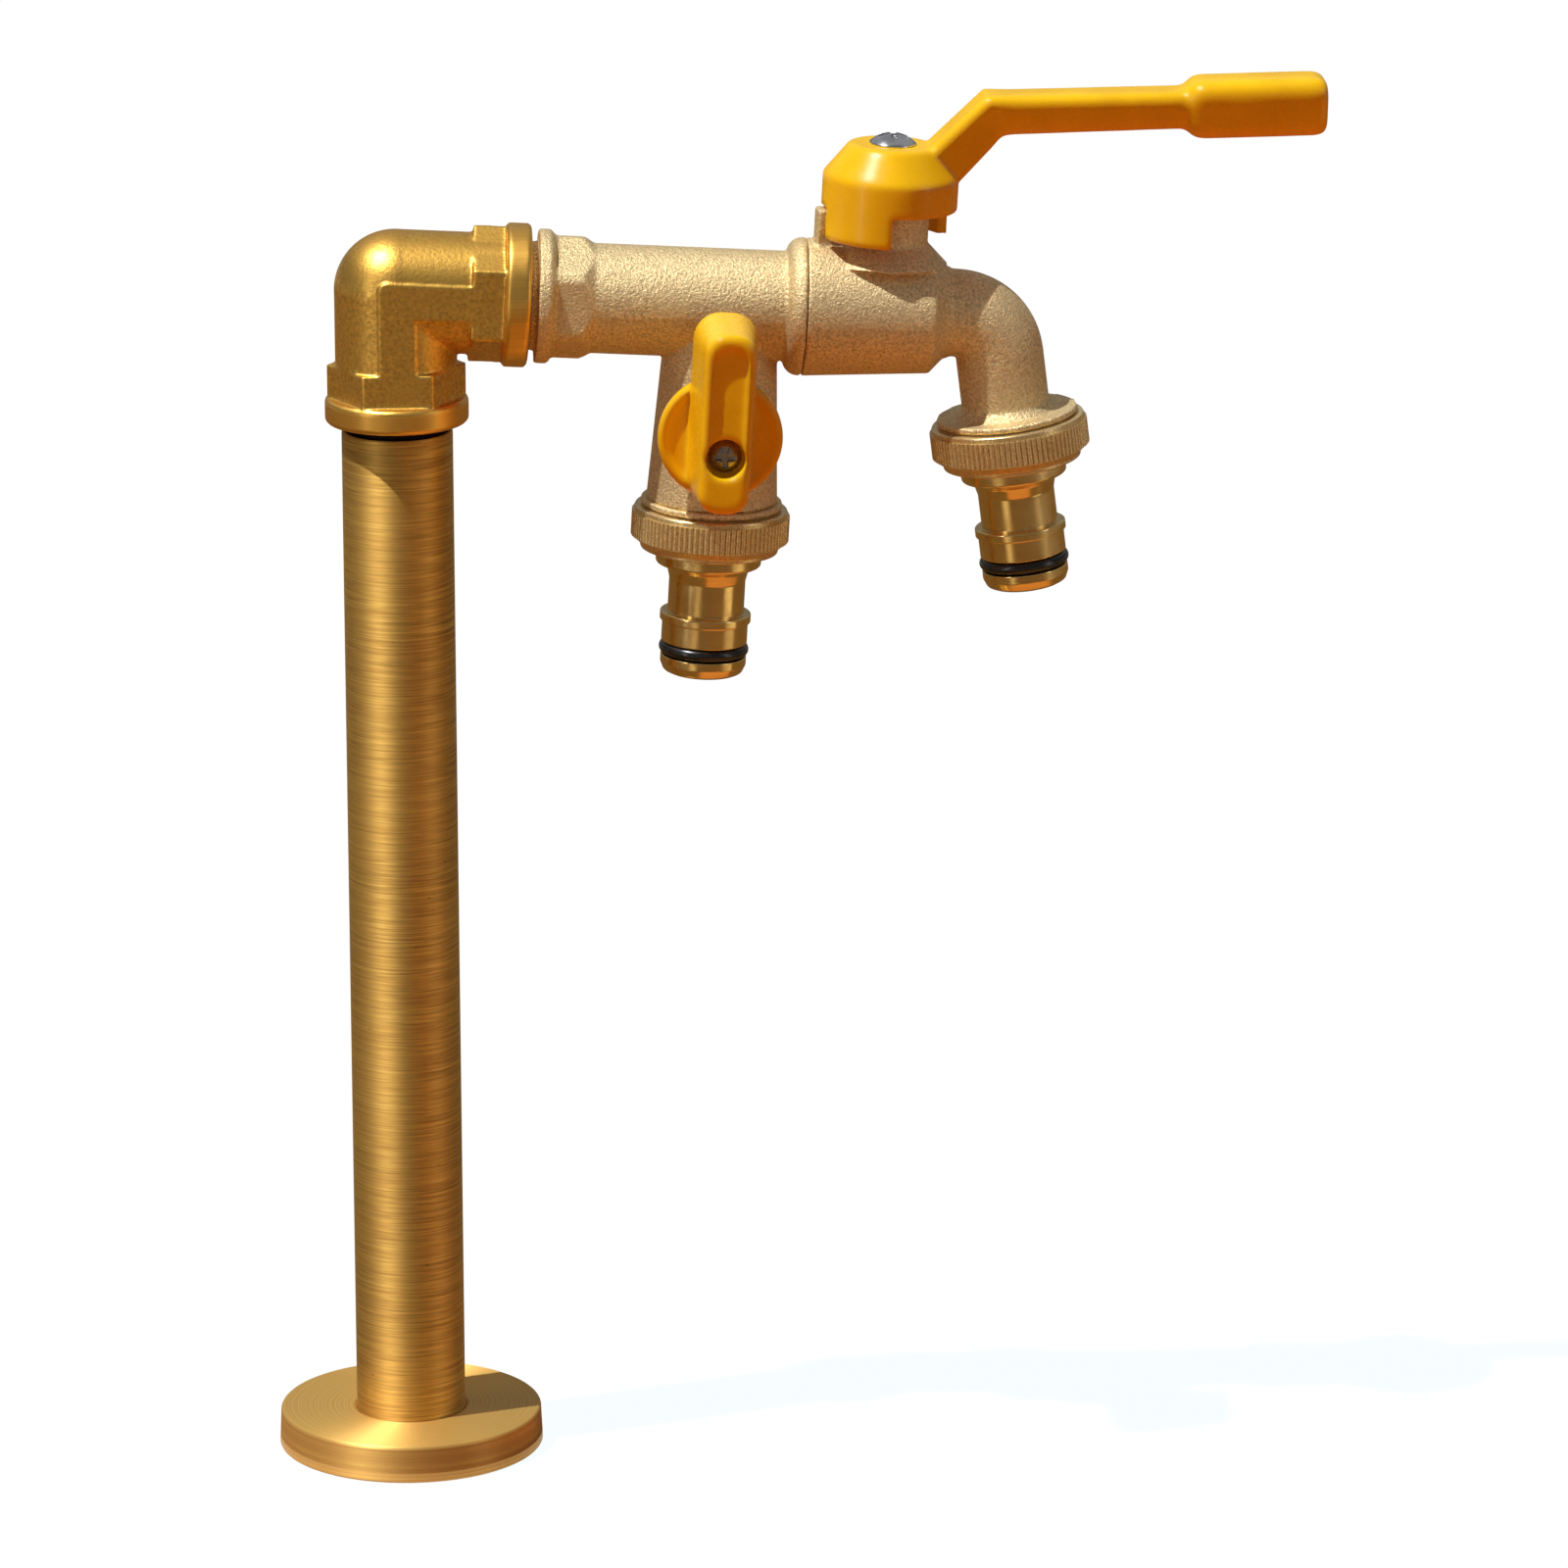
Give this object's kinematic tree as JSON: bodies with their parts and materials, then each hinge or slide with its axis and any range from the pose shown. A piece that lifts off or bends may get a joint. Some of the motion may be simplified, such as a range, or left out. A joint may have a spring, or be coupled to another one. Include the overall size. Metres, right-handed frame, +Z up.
{
  "type": "garden standpipe",
  "caption": "Brass garden standpipe: riser on a round foot, elbow, ball-valve tap with a lever, and a branch valve with a knob, each ending in a hose tail.",
  "frame": {"origin": "centre of the foot flange's underside, on the riser's axis and on the ground plane", "axes": "+Z up along the riser, +X along the tap towards its spout, -Y towards the user, who faces the knob"},
  "size_m": [0.2104, 0.0613, 0.2799],
  "materials": {
    "brass_tube": "brushed along its turning marks, golden brown",
    "brass_elbow": "satin casting with machined rings",
    "brass_cast": "shot-blasted casting, pale and grainy",
    "brass_turned": "turned and polished",
    "brass_knurled": "straight knurl between bright turned rims",
    "lacquer": "glossy amber lacquer",
    "zinc_screw": "bright zinc",
    "dark_screw": "zinc with a dark recess",
    "chromed_ball": "polished chrome plate",
    "rubber": "black, slightly glossy",
    "ptfe": "white, waxy",
    "fibre": "red fibre"
  },
  "bodies": {
    "standpipe": {"base_flange": "brass_tube", "riser_pipe": "brass_tube", "elbow": "brass_elbow", "tap_rear_body": "brass_cast", "body_joint_seal": "fibre", "tap_front_body": "brass_cast", "main_seat_rear": "ptfe", "main_seat_front": "ptfe", "main_thrust_washer": "ptfe", "branch_insert": "brass_cast", "branch_seat_upper": "ptfe", "branch_seat_lower": "ptfe", "branch_thrust_washer": "ptfe", "branch_washer": "rubber", "branch_tail": "brass_turned", "branch_tail_oring": "rubber", "spout_washer": "rubber", "spout_tail": "brass_turned", "spout_tail_oring": "rubber"},
    "lever": {"lever_handle": "lacquer", "lever_screw": "zinc_screw", "main_stem": "brass_turned", "main_stem_orings": "rubber", "main_ball": "chromed_ball"},
    "knob": {"branch_knob": "lacquer", "knob_screw": "dark_screw", "branch_stem": "brass_turned", "branch_stem_oring": "rubber", "branch_ball": "chromed_ball"},
    "branch_coupling": {"branch_nut": "brass_knurled"},
    "spout_coupling": {"spout_nut": "brass_knurled"}
  },
  "joints": [
    {"name": "lever_turn", "type": "hinge", "parent": "standpipe", "child": "lever", "pos_m": [0.09614, 0, 0.23386], "axis": [0.0576, 0, 0.9983], "range_deg": [0, 90]},
    {"name": "knob_turn", "type": "hinge", "parent": "standpipe", "child": "knob", "pos_m": [0.06303, 0, 0.21213], "axis": [0, 1, 0], "range_deg": [0, 90]},
    {"name": "branch_nut_turn", "type": "hinge", "parent": "standpipe", "child": "branch_coupling", "pos_m": [0.06204, 0, 0.19495], "axis": [-0.0576, 0, -0.9983], "continuous": true},
    {"name": "spout_nut_turn", "type": "hinge", "parent": "standpipe", "child": "spout_coupling", "pos_m": [0.12083, 0, 0.21173], "axis": [0.1201, 0, -0.9928], "continuous": true}
  ]
}
